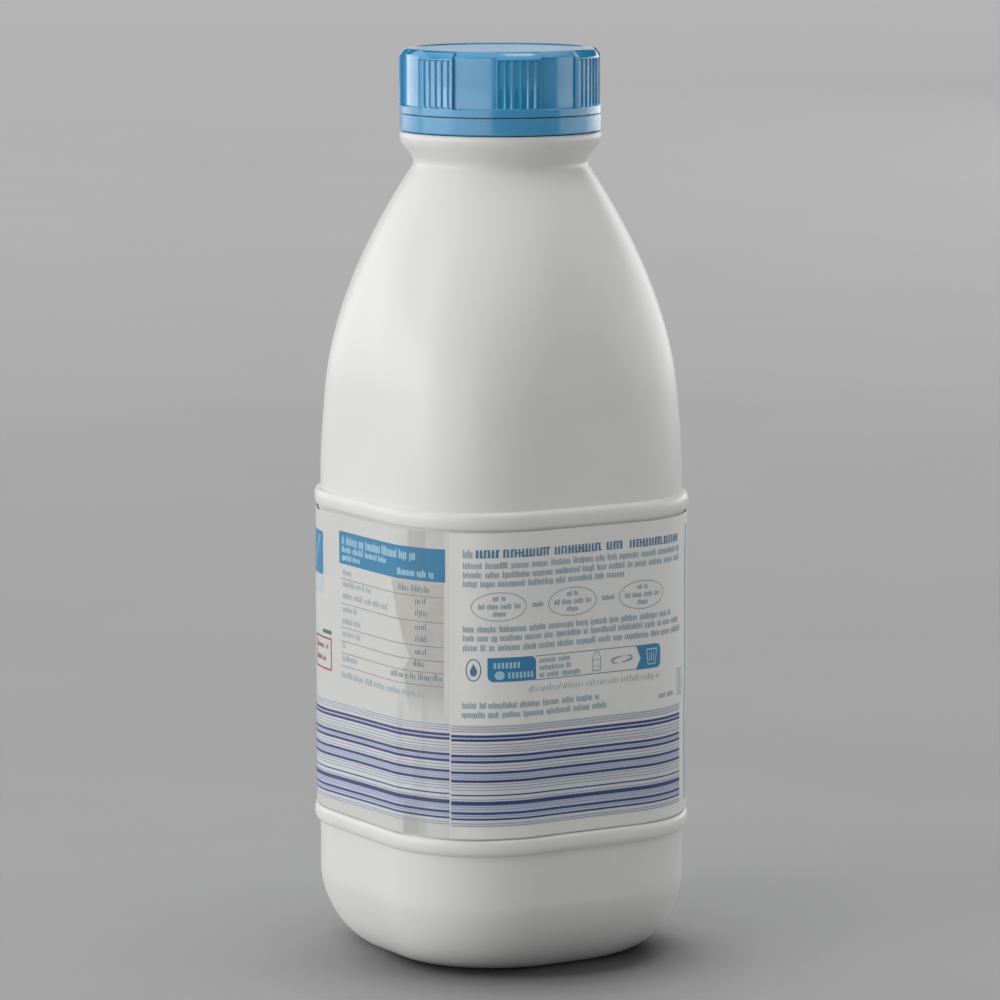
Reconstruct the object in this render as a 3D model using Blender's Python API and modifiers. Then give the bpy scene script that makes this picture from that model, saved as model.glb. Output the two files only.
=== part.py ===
"""One litre milk bottle: a blow-moulded body of rounded square section, with a wrap-round
paper label between two beads, a ribbed screw cap and the tamper band below it.

The bottle stands on z = 0. Its flat sides face along X and Y, and its axis is the Z axis.
Sizes are in millimetres and degrees until they meet MM or math.radians.
"""

import math

import bmesh
import bpy

MM = 0.001
MERGE = 0.00001
GAP = 0.3

# Section at the label: a rounded square, given by half its width and its corner radius
LABEL_HALF = 41.5
LABEL_CORNER = 27.0
LABEL_THICK = 0.3
LABEL_BOTTOM = 35.7
LABEL_TOP = 111.6

# The label's vertical lap, on the corner between the -X and -Y sides
LAP_ANGLE = -136.1
LAP_WIDTH = 8.0
LAP_FADE = 7.0
LAP_THICK = 0.25

# The foot that the bottle stands on, the rounded heel above it and the push-up inside it
FOOT_HALF = 31.25
FOOT_CORNER = 26.6
HEEL_HEIGHT = 17.7
HEEL_POWER = 1.52
PUSH_UP_RADIUS = 24.0
PUSH_UP_DEPTH = 2.6

# The wall below, behind and above the label, and the two beads that guard the label
LOWER_WALL_HALF = 40.55
LABEL_WALL_HALF = LABEL_HALF - LABEL_THICK - GAP
UPPER_WALL_HALF = 40.25
LOWER_BEAD_HALF = 41.95
UPPER_BEAD_HALF = 41.75
BEAD_HEIGHT = 4.4
BEAD_CLEAR = 0.4
BEAD_POWER = 2.4

# The shoulder: one Bezier curve from the wall's end up to the cone under the waist
SHOULDER_HALF = 40.05
SHOULDER_START = 142.0
SHOULDER_HANDLE = 22.2
NECK_HANDLE = 19.6
NECK_SLOPE = 33.3
WAIST_TOP = 197.7
WAIST_TOP_RADIUS = 22.2
MORPH_START = 118.3
MORPH_END = 197.1

# The waist, the flange over it and the plain neck that the cap covers
WAIST_RADIUS = 21.9
WAIST_HEIGHT = 198.9
FLANGE_RADIUS = 25.25
FLANGE_CREST = 205.1
FLANGE_TOP = 206.5
NECK_RADIUS = 21.9
NECK_TOP = 224.9

# The cap: a cup with pads raised on its side, each with upright ribs
CAP_TOP = 227.2
CAP_WALL_INSIDE = NECK_RADIUS + GAP
CAP_PANEL_RADIUS = 24.4
CAP_SKIRT_RADIUS = 25.35
CAP_SKIRT_TOP = 213.0
CAP_CHAMFER = 1.0
PAD_COUNT = 7
PAD_TURN = -110.35
PAD_HALF_ANGLE = 13.3
PAD_RADIUS = 25.1
RIBS_ON_PAD = 7
RIB_PITCH = 4.1
RIB_RADIUS = 0.35
RIB_SINK = 0.05
RIB_TOP = 225.4

# The tamper band, with a thin gap to the cap's skirt above and to the flange below
SEAM_HEIGHT = 211.1
BAND_BOTTOM = FLANGE_TOP + GAP
BAND_RADIUS = 25.35

# Steps around the axis
BODY_SIDES = 64
CAP_SIDES = 84

SHELL_WHITE = (0.83, 0.83, 0.81, 1.0)
LABEL_WHITE = (0.72, 0.72, 0.70, 1.0)
CAP_BLUE = (0.07, 0.33, 0.58, 1.0)


def material(name, colour, roughness):
    """A plastic or paper finish of one colour."""
    made = bpy.data.materials.new(name)
    made.use_nodes = True
    shader = made.node_tree.nodes["Principled BSDF"]
    shader.inputs["Base Color"].default_value = colour
    shader.inputs["Roughness"].default_value = roughness
    shader.inputs["Metallic"].default_value = 0.0
    made.diffuse_color = colour
    return made


def add_object(name, mesh, collection, finish):
    """An object for a mesh, in its collection and with its finish."""
    made = bpy.data.objects.new(name, mesh)
    made.data.materials.append(finish)
    collection.objects.link(made)
    return made


def shade(mesh):
    """Smooth shading that keeps the real edges sharp."""
    mesh.shade_smooth()
    mesh.set_sharp_from_angle(angle=math.radians(35))


def mesh_from(bm, name):
    """A mesh made from a bmesh, which is freed."""
    mesh = bpy.data.meshes.new(name)
    bm.to_mesh(mesh)
    bm.free()
    return mesh


def section_reach(half, corner, angle):
    """Distance from the axis to a rounded square's outline, at an angle in radians."""
    core = half - corner
    far = max(abs(math.cos(angle)), abs(math.sin(angle)))
    near = min(abs(math.cos(angle)), abs(math.sin(angle)))
    if near * half <= core * far:
        return half / far
    return core * (far + near) + math.sqrt(corner ** 2 - (core * (far - near)) ** 2)


def at_angle(reach, angle, z):
    """A point in metres from its distance to the axis, its angle and its height."""
    return (reach * math.cos(angle) * MM, reach * math.sin(angle) * MM, z * MM)


def offset_section(half, z):
    """The label's section moved in or out to another half width, at a height."""
    return (half, LABEL_CORNER - (LABEL_HALF - half), z)


def heel_sections():
    """The rounded heel: an upright superellipse between the foot and the lower wall."""
    steps = 9
    wall_corner = LABEL_CORNER - (LABEL_HALF - LOWER_WALL_HALF)
    rings = []
    for step in range(steps):
        turn = 0.5 * math.pi * (1 - step / steps)
        inward = 1 - math.cos(turn) ** (2 / HEEL_POWER)
        height = HEEL_HEIGHT * (1 - math.sin(turn) ** (2 / HEEL_POWER))
        moved = (LOWER_WALL_HALF - FOOT_HALF) * inward
        corner = (wall_corner - moved) * (1 - inward) + FOOT_CORNER * inward
        rings.append((LOWER_WALL_HALF - moved, corner, height))
    return rings


def bead_sections(bottom, half, below, above):
    """A rounded bead on the wall, whose half width is below and above on its two sides."""
    steps = 8
    rings = []
    for step in range(steps + 1):
        across = -math.cos(math.pi * step / steps)
        rise = (1 - abs(across) ** BEAD_POWER) ** (1 / BEAD_POWER)
        wall = below if across < 0 else above
        z = bottom + BEAD_HEIGHT * 0.5 * (1 + across)
        rings.append(offset_section(wall + (half - wall) * rise, z))
    return rings


def bezier(p0, p1, p2, p3, t):
    """A point on a cubic Bezier curve in the plane."""
    s = 1 - t
    weights = (s ** 3, 3 * s * s * t, 3 * s * t * t, t ** 3)
    return [sum(w * p[axis] for w, p in zip(weights, (p0, p1, p2, p3))) for axis in (0, 1)]


def corner_share(z):
    """Corner radius as a share of the half width, growing to a full circle at the waist."""
    start = 1 - (LABEL_HALF - LABEL_CORNER) / UPPER_WALL_HALF
    s = min(max((z - MORPH_START) / (MORPH_END - MORPH_START), 0), 1)
    return start + (1 - start) * s * s * (3 - 2 * s)


def shoulder_sections():
    """The shoulder, from the wall above the label to the cone under the waist."""
    steps = 15
    lean = (UPPER_WALL_HALF - SHOULDER_HALF) / (SHOULDER_START - MORPH_START)
    slope = math.radians(NECK_SLOPE)
    low = (SHOULDER_HALF, SHOULDER_START)
    low_handle = (SHOULDER_HALF - lean * SHOULDER_HANDLE, SHOULDER_START + SHOULDER_HANDLE)
    high = (WAIST_TOP_RADIUS, WAIST_TOP)
    high_handle = (
        WAIST_TOP_RADIUS + NECK_HANDLE * math.sin(slope),
        WAIST_TOP - NECK_HANDLE * math.cos(slope),
    )
    rings = []
    for step in range(steps + 1):
        half, z = bezier(low, low_handle, high_handle, high, step / steps)
        rings.append((half, half * corner_share(z), z))
    return rings


def turned(points):
    """Sections of round stretches, given as radius and height."""
    return [(radius, radius, z) for radius, z in points]


def bottle_sections():
    """All outer sections of the bottle, from the foot to the top of the neck."""
    lower_bead = LABEL_BOTTOM - BEAD_CLEAR - BEAD_HEIGHT
    upper_bead = LABEL_TOP + BEAD_CLEAR
    middle_z = 0.5 * (MORPH_START + SHOULDER_START)
    middle_half = 0.5 * (UPPER_WALL_HALF + SHOULDER_HALF)
    rings = heel_sections()
    rings.append(offset_section(LOWER_WALL_HALF, HEEL_HEIGHT))
    rings += bead_sections(lower_bead, LOWER_BEAD_HALF, LOWER_WALL_HALF, LABEL_WALL_HALF)
    rings += bead_sections(upper_bead, UPPER_BEAD_HALF, LABEL_WALL_HALF, UPPER_WALL_HALF)
    rings.append((middle_half, middle_half * corner_share(middle_z), middle_z))
    rings += shoulder_sections()
    rings += turned([
        (WAIST_RADIUS, WAIST_HEIGHT),
        (WAIST_RADIUS + 0.1, WAIST_HEIGHT + 0.8),
        (WAIST_RADIUS + 0.8, WAIST_HEIGHT + 1.8),
        (FLANGE_RADIUS - 0.85, FLANGE_CREST - 2.2),
        (FLANGE_RADIUS - 0.3, FLANGE_CREST - 1.3),
        (FLANGE_RADIUS, FLANGE_CREST),
        (FLANGE_RADIUS - 0.25, FLANGE_TOP),
        (NECK_RADIUS, FLANGE_TOP),
        (NECK_RADIUS, NECK_TOP),
    ])
    return rings


def push_up_sections():
    """The shallow hollow under the bottle, from its centre ring out to the foot's edge."""
    steps = 4
    rings = []
    for step in range(1, steps + 1):
        turn = 0.5 * math.pi * step / steps
        radius = PUSH_UP_RADIUS * math.sin(turn)
        rings.append((radius, radius, PUSH_UP_DEPTH * math.cos(turn)))
    return rings


def make_bottle(collection, finish):
    """The body, lofted through its sections and closed at the neck and under the foot."""
    bm = bmesh.new()
    angles = [2 * math.pi * step / BODY_SIDES for step in range(BODY_SIDES)]
    rings = []
    for half, corner, z in push_up_sections() + bottle_sections():
        ring = [bm.verts.new(at_angle(section_reach(half, corner, a), a, z)) for a in angles]
        rings.append(ring)
    for low, high in zip(rings, rings[1:]):
        for k in range(BODY_SIDES):
            n = (k + 1) % BODY_SIDES
            bm.faces.new((low[k], low[n], high[n], high[k]))
    centre = bm.verts.new((0, 0, PUSH_UP_DEPTH * MM))
    for k in range(BODY_SIDES):
        bm.faces.new((centre, rings[0][(k + 1) % BODY_SIDES], rings[0][k]))
    bm.faces.new(rings[-1])
    bmesh.ops.recalc_face_normals(bm, faces=bm.faces[:])
    mesh = mesh_from(bm, "bottle")
    bottle = add_object("bottle", mesh, collection, finish)
    shade(bottle.data)
    return bottle


def lap_rise(arc):
    """How far the lap stands out, at an arc length past the lap's edge."""
    fade = min(max((arc - LAP_WIDTH) / LAP_FADE, 0), 1)
    return LAP_THICK * (1 - fade * fade * (3 - 2 * fade))


def make_label(collection, finish):
    """The sleeve of paper, whose lap makes a small upright step in its outer face."""
    start = math.radians(LAP_ANGLE)
    turns = [2 * math.pi * step / BODY_SIDES for step in range(BODY_SIDES)]
    corner_reach = section_reach(LABEL_HALF, LABEL_CORNER, start)
    outer = [(start, 0.0)]
    for turn in turns:
        outer.append((start + turn, lap_rise(turn * corner_reach)))
    bm = bmesh.new()

    def wall(half, places, z):
        """One closed line of points on the sleeve's section."""
        corner = LABEL_CORNER - (LABEL_HALF - half)
        line = []
        for angle, rise in places:
            line.append(bm.verts.new(at_angle(section_reach(half, corner, angle) + rise, angle, z)))
        return line

    inside = [(start, 0.0)] + [(start + turn, 0.0) for turn in turns[1:]]
    inner_half = LABEL_HALF - LABEL_THICK
    inner_low = wall(inner_half, inside, LABEL_BOTTOM)
    inner_high = wall(inner_half, inside, LABEL_TOP)
    outer_low = wall(LABEL_HALF, outer, LABEL_BOTTOM)
    outer_high = wall(LABEL_HALF, outer, LABEL_TOP)
    count = len(outer)
    for k in range(count):
        n = (k + 1) % count
        bm.faces.new((outer_low[k], outer_low[n], outer_high[n], outer_high[k]))
    for k in range(BODY_SIDES):
        n = (k + 1) % BODY_SIDES
        bm.faces.new((inner_low[n], inner_low[k], inner_high[k], inner_high[n]))
        bm.faces.new((inner_low[k], inner_low[n], outer_low[(k + 2) % count], outer_low[k + 1]))
        bm.faces.new((inner_high[n], inner_high[k], outer_high[k + 1], outer_high[(k + 2) % count]))
    bm.faces.new((inner_low[0], outer_low[1], outer_low[0]))
    bm.faces.new((inner_high[0], outer_high[0], outer_high[1]))
    bmesh.ops.recalc_face_normals(bm, faces=bm.faces[:])
    label = add_object("label", mesh_from(bm, "label"), collection, finish)
    shade(label.data)
    return label


def turned_object(name, profile, closed, collection, finish):
    """A solid of revolution: a profile at +X, running down its outer side, and a Screw."""
    bm = bmesh.new()
    points = [bm.verts.new((radius * MM, 0, z * MM)) for radius, z in profile]
    for a, b in zip(points, points[1:]):
        bm.edges.new((a, b))
    if closed:
        bm.edges.new((points[-1], points[0]))
    made = add_object(name, mesh_from(bm, name), collection, finish)
    screw = made.modifiers.new("turn", "SCREW")
    screw.steps = CAP_SIDES
    screw.render_steps = CAP_SIDES
    screw.use_merge_vertices = True
    screw.merge_threshold = MERGE
    screw.use_smooth_shade = True
    return made


def make_tamper_band(collection, finish):
    """The ring that stays on the neck when the cap is first turned."""
    top = SEAM_HEIGHT - 0.5 * GAP
    edge = 0.2
    profile = [
        (BAND_RADIUS - edge, top),
        (BAND_RADIUS, top - edge),
        (BAND_RADIUS, BAND_BOTTOM + edge),
        (BAND_RADIUS - edge, BAND_BOTTOM),
        (CAP_WALL_INSIDE, BAND_BOTTOM),
        (CAP_WALL_INSIDE, top),
    ]
    return turned_object("tamper_band", profile, True, collection, finish)


def make_cap_cup(collection, finish):
    """The cap without its pads: a cup that covers the neck, with a skirt at its rim."""
    bottom = SEAM_HEIGHT + 0.5 * GAP
    edge = 0.2
    roof = NECK_TOP + GAP
    ledge = CAP_SKIRT_RADIUS - CAP_PANEL_RADIUS
    profile = [
        (0, CAP_TOP),
        (CAP_PANEL_RADIUS - 0.8 * CAP_CHAMFER, CAP_TOP),
        (CAP_PANEL_RADIUS, CAP_TOP - CAP_CHAMFER),
        (CAP_PANEL_RADIUS, CAP_SKIRT_TOP + ledge),
        (CAP_SKIRT_RADIUS, CAP_SKIRT_TOP),
        (CAP_SKIRT_RADIUS, bottom + edge),
        (CAP_SKIRT_RADIUS - edge, bottom),
        (CAP_WALL_INSIDE, bottom),
        (CAP_WALL_INSIDE, roof),
        (0, roof),
    ]
    return turned_object("cap", profile, False, collection, finish)


def add_pad(turn, collection, finish):
    """One raised pad: its upright section as a face, spun round the axis."""
    root = CAP_PANEL_RADIUS - 1.0
    low = CAP_SKIRT_TOP - 0.4
    profile = [
        (root, low),
        (PAD_RADIUS, low),
        (PAD_RADIUS, CAP_TOP - CAP_CHAMFER - 0.1),
        (PAD_RADIUS - 0.8 * CAP_CHAMFER, CAP_TOP - 0.1),
        (root, CAP_TOP - 0.1),
    ]
    steps = 6
    start = math.radians(turn - PAD_HALF_ANGLE)
    bm = bmesh.new()
    corners = [bm.verts.new(at_angle(radius, start, z)) for radius, z in profile]
    face = bm.faces.new(corners)
    bmesh.ops.spin(
        bm,
        geom=[face] + list(face.edges) + corners,
        cent=(0, 0, 0),
        axis=(0, 0, 1),
        angle=math.radians(2 * PAD_HALF_ANGLE),
        steps=steps,
    )
    bmesh.ops.recalc_face_normals(bm, faces=bm.faces[:])
    return add_object("pad", mesh_from(bm, "pad"), collection, finish)


def add_rib(turn, collection, finish):
    """One upright rib, sunk in the face of its pad."""
    reach = PAD_RADIUS - RIB_SINK
    low = CAP_SKIRT_TOP + 0.3
    angle = math.radians(turn)
    bpy.ops.mesh.primitive_cylinder_add(
        vertices=8,
        radius=RIB_RADIUS * MM,
        depth=(RIB_TOP - low) * MM,
        location=at_angle(reach, angle, 0.5 * (low + RIB_TOP)),
        rotation=(0, 0, angle + math.pi / 8),
    )
    rib = bpy.context.active_object
    rib.data.materials.append(finish)
    for owner in rib.users_collection:
        owner.objects.unlink(rib)
    collection.objects.link(rib)
    return rib


def make_cap(collection, cutters, finish):
    """The cap's cup with its pads and ribs joined to it."""
    cap = make_cap_cup(collection, finish)
    for pad in range(PAD_COUNT):
        middle = PAD_TURN + 360 * pad / PAD_COUNT
        add_pad(middle, cutters, finish)
        for rib in range(RIBS_ON_PAD):
            add_rib(middle + RIB_PITCH * (rib - 0.5 * (RIBS_ON_PAD - 1)), cutters, finish)
    for piece in cutters.objects:
        piece.hide_render = True
        piece.display_type = "WIRE"
    join = cap.modifiers.new("pads and ribs", "BOOLEAN")
    join.operation = "UNION"
    join.operand_type = "COLLECTION"
    join.collection = cutters
    join.solver = "EXACT"
    bpy.context.view_layer.objects.active = cap
    for modifier in list(cap.modifiers):
        bpy.ops.object.modifier_apply(modifier=modifier.name)
    for piece in list(cutters.objects):
        bpy.data.objects.remove(piece, do_unlink=True)
    shade(cap.data)
    return cap


def main():
    """Clear the scene and model the bottle."""
    for old in list(bpy.data.objects):
        bpy.data.objects.remove(old, do_unlink=True)
    parts = bpy.data.collections.new("milk_bottle")
    cutters = bpy.data.collections.new("cap_pieces")
    for collection in (parts, cutters):
        bpy.context.scene.collection.children.link(collection)
    shell = material("white bottle plastic", SHELL_WHITE, 0.35)
    paper = material("label paper", LABEL_WHITE, 0.6)
    blue = material("blue cap plastic", CAP_BLUE, 0.3)
    make_bottle(parts, shell)
    make_label(parts, paper)
    make_tamper_band(parts, blue)
    make_cap(parts, cutters, blue)


main()
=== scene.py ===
"""Looks of the milk bottle: the white blow-moulded body, the printed paper label, the ribbed blue
cap and its tamper band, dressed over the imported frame.

Sizes are in millimetres and degrees until they meet MM or math.radians. A place on the label is
its arc, the way round the paper from the middle of the -X-Y corner, and its height.
"""

import math
import random

import bmesh
import bpy
from mathutils import Matrix, Vector


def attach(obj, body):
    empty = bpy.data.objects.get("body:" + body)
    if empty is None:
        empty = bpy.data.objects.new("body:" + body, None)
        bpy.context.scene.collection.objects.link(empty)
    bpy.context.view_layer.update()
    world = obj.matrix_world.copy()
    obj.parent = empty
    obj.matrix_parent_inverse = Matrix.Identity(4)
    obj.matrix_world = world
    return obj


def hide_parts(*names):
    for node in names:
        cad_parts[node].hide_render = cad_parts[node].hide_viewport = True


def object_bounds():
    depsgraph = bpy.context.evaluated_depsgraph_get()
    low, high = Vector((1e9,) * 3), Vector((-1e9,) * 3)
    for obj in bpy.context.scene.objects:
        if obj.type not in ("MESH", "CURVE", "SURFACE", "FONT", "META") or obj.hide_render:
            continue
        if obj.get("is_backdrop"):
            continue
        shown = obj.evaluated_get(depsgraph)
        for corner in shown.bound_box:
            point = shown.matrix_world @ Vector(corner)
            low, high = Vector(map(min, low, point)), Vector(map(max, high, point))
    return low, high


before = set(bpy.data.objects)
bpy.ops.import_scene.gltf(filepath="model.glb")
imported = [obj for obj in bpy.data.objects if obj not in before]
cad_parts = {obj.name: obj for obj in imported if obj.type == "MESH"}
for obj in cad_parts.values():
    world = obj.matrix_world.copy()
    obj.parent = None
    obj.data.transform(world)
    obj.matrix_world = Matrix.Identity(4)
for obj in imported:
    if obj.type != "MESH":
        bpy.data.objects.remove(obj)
cad_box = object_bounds()

MM = 0.001
TIGHT = 0.000004

# The label's section and the paper's reach
LABEL_HALF = 41.5
LABEL_CORNER = 27.0
SIDE_RUN = 0.5 * math.pi * LABEL_CORNER + 2 * (LABEL_HALF - LABEL_CORNER)
GIRTH = 4 * SIDE_RUN
LABEL_BOTTOM = 35.7
LABEL_TOP = 111.6
LABEL_TALL = LABEL_TOP - LABEL_BOTTOM
PAPER_THICK = 0.2
FLAP_EDGE = -0.95
FLAP_RISE = 0.25
FLAP_WIDTH = 8.0
FLAP_FADE = 7.0
TUCKED = 8.0
PAPER_LENGTH = GIRTH + TUCKED
PAPER_COLUMNS = round(PAPER_LENGTH)
PAPER_ROWS = 50

# The paper's fold, ridge and crease beside its lap, each by its arc, its width and its size
FOLD_ARC, FOLD_WIDTH, FOLD_DEPTH = -11.5, 2.6, 0.22
RIDGE_ARC, RIDGE_WIDTH, RIDGE_RISE = -16.5, 2.2, 0.12
CREASE_ARC, CREASE_WIDTH, CREASE_DEPTH = -6.0, 1.8, 0.1

# The small notch in the paper's upper edge
NOTCH_ARC = -58.3
NOTCH_WIDTH = 2.4
NOTCH_DEPTH = 0.6
NOTCH_START = 108.0

# The arcs where the stripes end, and the middle of the hidden front
RIGHT_END = 67.4
LEFT_END = GIRTH - RIGHT_END
BACK_START = GIRTH + FLAP_EDGE - 0.1
FRONT = 0.5 * GIRTH

# The left stripes sink towards their far end: from where, and by how much a millimetre
SINK_START = GIRTH - 20.0
SINK_SLOPE = 0.025

# The top row of marks, whose words have a left, right, base, tall and seed, and the ovals' arcs
HEADING_ROWS = [
    (2.4, 4.9, 105.5, 2, 5), (5.5, 11.2, 105.5, 2, 6), (12.2, 24.7, 105.5, 2, 7),
    (26.2, 39.8, 105.4, 2, 8), (41.3, 46.3, 105.4, 2, 9), (48, 58.2, 105.4, 2, 14),
    (59.1, 65.5, 105.3, 2, 15),
]
OVAL_ARCS = (11.3, 31.4, 51.9)

# Where the darker, warmer zone beside the lap ends on its left, as pairs of height and arc
DARK_ZONE_EDGE = (
    (60, -9), (65, -12), (72, -14), (77, -14.5), (80, -12.5), (85, -15), (93, -17.5),
    (98, -19), (110, -13),
)
DARK_ZONE_LOW = 60.0
DARK_ZONE_TALL = 52.0
DARK_ZONE_WIDE = 20.0

# Painted light on the paper, as pairs of a share of its run and a tone: whiter just past the lap's
# edge as a painted reflection, whiter along the right panel and darker along the left as painted
# light and shade
PAPER_PAINTED_LIGHT = (
    (0, 0.8), (0.012, 0.88), (0.045, 0.88), (0.08, 0.85), (0.25, 0.85), (0.5, 0.76),
    (0.76, 0.68), (0.955, 0.68), (0.97, 0.74), (1, 0.74),
)

# The blow-moulded body
FOOT_HALF = 31.25
FOOT_CORNER = 26.6
HEEL_HEIGHT = 17.7
HEEL_POWER = 1.52
PUSH_UP_RADIUS = 24.0
PUSH_UP_DEPTH = 2.6
LOWER_WALL_HALF = 40.55
LABEL_WALL_HALF = 40.9
UPPER_WALL_HALF = 40.25
LOWER_BEAD_HALF = 41.95
UPPER_BEAD_HALF = 41.75
BEAD_HEIGHT = 4.4
BEAD_CLEAR = 0.4
BEAD_POWER = 2.4
SHOULDER_HALF = 40.05
SHOULDER_START = 142.0
SHOULDER_HANDLE = 22.2
NECK_HANDLE = 19.6
NECK_SLOPE = 33.3
WAIST_TOP = 197.7
WAIST_TOP_RADIUS = 22.2
MORPH_START = 118.3
MORPH_END = 197.1
FLANGE_RADIUS = 25.25
FLANGE_TOP = 206.5
NECK_RADIUS = 21.9
NECK_TOP = 224.9
BODY_SIDES = 256
# Painted light: the wall is painted whiter below these heights, lighting the heel
FOOT_PAINTED_LIGHT_LOW = 5.0
FOOT_PAINTED_LIGHT_HIGH = 18.0

# The pinch weld that the mould leaves across the foot
WELD_TURN = -45.0
WELD_REACH = 19.0
WELD_FADE = 3.0
WELD_DEPTH = 0.45
WELD_WIDTH = 0.55

# The line from the waist over the flange, as pairs of radius and height
FLANGE_LINE = (
    (WAIST_TOP_RADIUS, WAIST_TOP), (21.93, 198.5), (21.9, 199.1), (22.12, 200), (22.85, 201.1),
    (24.3, 202.9), (24.93, 203.9), (FLANGE_RADIUS, 205.1), (25.18, 206), (24.9, FLANGE_TOP),
)

# The cap and the tamper band
CAP_TOP = 227.2
CAP_RADIUS = 25.35
PANEL_RADIUS = 24.35
CAP_INSIDE = 22.2
CAP_ROOF = 225.2
CAP_BOTTOM = 211.25
SKIRT_TOP = 213.1
DISC_SUNK = 0.27
DISC_RADIUS = 21.0
DISC_FADE = 0.4
CAP_SIDES = 840
PAD_COUNT = 7
PAD_WIDTH = 25.9
PAD_START = -123.35
PAD_EDGE = 0.16
RIB_PLACES = (0.45, 4.85, 9.25, 13.7, 18.1, 22.4, 25.45)
RIB_CREST = 0.3
GROOVE_DEPTH = 0.42
GROOVE_FLANK = 0.2
BAND_TOP = 210.95
BAND_BOTTOM = 206.8
BAND_SIDES = 420

# The cap's rings, as pairs of radius and height. Each ring of the side has its place on the
# panels, its place on the pads and the share of the grooves' depth.
CAP_RIM = ((21.2, 226.93), (21.6, 226.95), (21.95, 227.02), (22.2, 227.14), (22.5, CAP_TOP))
CAP_SIDE = (
    ((22.95, CAP_TOP), (23.2, 227.17), 0), ((23.1, 227.17), (23.35, 227.12), 0),
    ((23.25, 227.06), (24.15, 226.92), 0), ((24.1, 226.1), (24.32, 226.82), 0),
    ((24.25, 225.9), (25.1, 225.74), 0), ((24.33, 225.75), (25.27, 225.5), 0),
    ((PANEL_RADIUS, 225.55), (CAP_RADIUS, 225.32), 0),
    ((PANEL_RADIUS, 225.3), (CAP_RADIUS, 225.15), 0),
    ((PANEL_RADIUS, 225), (CAP_RADIUS, 224.85), 1),
    ((PANEL_RADIUS, 219), (CAP_RADIUS, 219), 1),
    ((PANEL_RADIUS, 213.6), (CAP_RADIUS, 213.75), 1),
    ((PANEL_RADIUS + 0.02, 213.3), (CAP_RADIUS, 213.4), 0.75),
    ((PANEL_RADIUS + 0.12, 213.16), (CAP_RADIUS, 213.16), 0),
    ((PANEL_RADIUS + 0.3, SKIRT_TOP), (CAP_RADIUS, SKIRT_TOP), 0),
    ((CAP_RADIUS - 0.06, 213.06), (CAP_RADIUS, 213.03), 0),
)
CAP_INNER = (
    (CAP_RADIUS, 212.99), (CAP_RADIUS, 212.85), (CAP_RADIUS, CAP_BOTTOM + 0.16),
    (CAP_RADIUS, CAP_BOTTOM + 0.06), (CAP_RADIUS - 0.06, CAP_BOTTOM), (CAP_INSIDE, CAP_BOTTOM),
    (CAP_INSIDE, CAP_ROOF), (10, CAP_ROOF),
)
BAND_LINE = (
    (CAP_RADIUS - 0.12, BAND_BOTTOM), (CAP_RADIUS - 0.03, BAND_BOTTOM + 0.04),
    (CAP_RADIUS, BAND_BOTTOM + 0.12), (CAP_RADIUS, BAND_BOTTOM + 0.3),
    (CAP_RADIUS, BAND_TOP - 0.16), (CAP_RADIUS, BAND_TOP - 0.06), (CAP_RADIUS - 0.06, BAND_TOP),
    (CAP_INSIDE, BAND_TOP), (CAP_INSIDE, BAND_BOTTOM),
)

# The studio, in metres: the floor's painted shadow and painted light by distance, and the painted
# shadow close round the foot
FLOOR_RADIUS = 14.0
FLOOR_REACH = 5.5
FLOOR_SHIFT = (0.0134, 0.0308, 0)
# Painted shadow near the bottle and painted light far away, as pairs of distance and tone
FLOOR_PAINTED_SHADE_AND_LIGHT = (
    (0, 0.155), (0.03, 0.254), (0.04, 0.32), (0.05, 0.35), (0.06, 0.39), (0.072, 0.413),
    (0.17, 0.411), (0.3, 0.405), (0.54, 0.416), (1.13, 0.461), (1.4, 0.498), (1.72, 0.523),
    (2, 0.546), (2.3, 0.567), (2.7, 0.604), (3, 0.642), (3.4, 0.7), (4, 0.769), (5.2, 0.816),
)
FOOT_REACH = 0.1
FOOT_MIDDLE = (-0.0037, -0.018, 0)
FOOT_STRETCH = (1, 0.79, 1)
# Painted contact shadow round the foot, as pairs of distance and share
FOOT_SHADES = (
    (0, 0.1), (0.03, 0.14), (0.036, 0.58), (0.042, 0.75), (0.048, 0.9), (0.06, 1),
)
LIGHT_AIM = (0, 0, 0.11)

# The photograph's view
CAMERA_PLACE = (-0.6548, -1.0876, 0.2936)
CAMERA_TURN = -31.05
CAMERA_DIP = 8.09
CAMERA_LENS = 182.77


class Flow:
    """A shader socket that takes part in Python arithmetic."""

    def __init__(self, shop, socket):
        self.shop = shop
        self.socket = socket

    def sum(self, operation, other, swapped=False):
        first, second = (other, self) if swapped else (self, other)
        return self.shop.node("ShaderNodeMath", {"operation": operation}, [first, second])

    def __add__(self, other):
        return self.sum("ADD", other)

    __radd__ = __add__

    def __sub__(self, other):
        return self.sum("SUBTRACT", other)

    def __rsub__(self, other):
        return self.sum("SUBTRACT", other, True)

    def __mul__(self, other):
        return self.sum("MULTIPLY", other)

    __rmul__ = __mul__

    def __truediv__(self, other):
        return self.sum("DIVIDE", other)

    def clipped(self):
        """The value kept between 0 and 1."""
        settings = {"operation": "ADD", "use_clamp": True}
        return self.shop.node("ShaderNodeMath", settings, [self, 0.0])

    def absolute(self):
        return self.shop.node("ShaderNodeMath", {"operation": "ABSOLUTE"}, [self])


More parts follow.
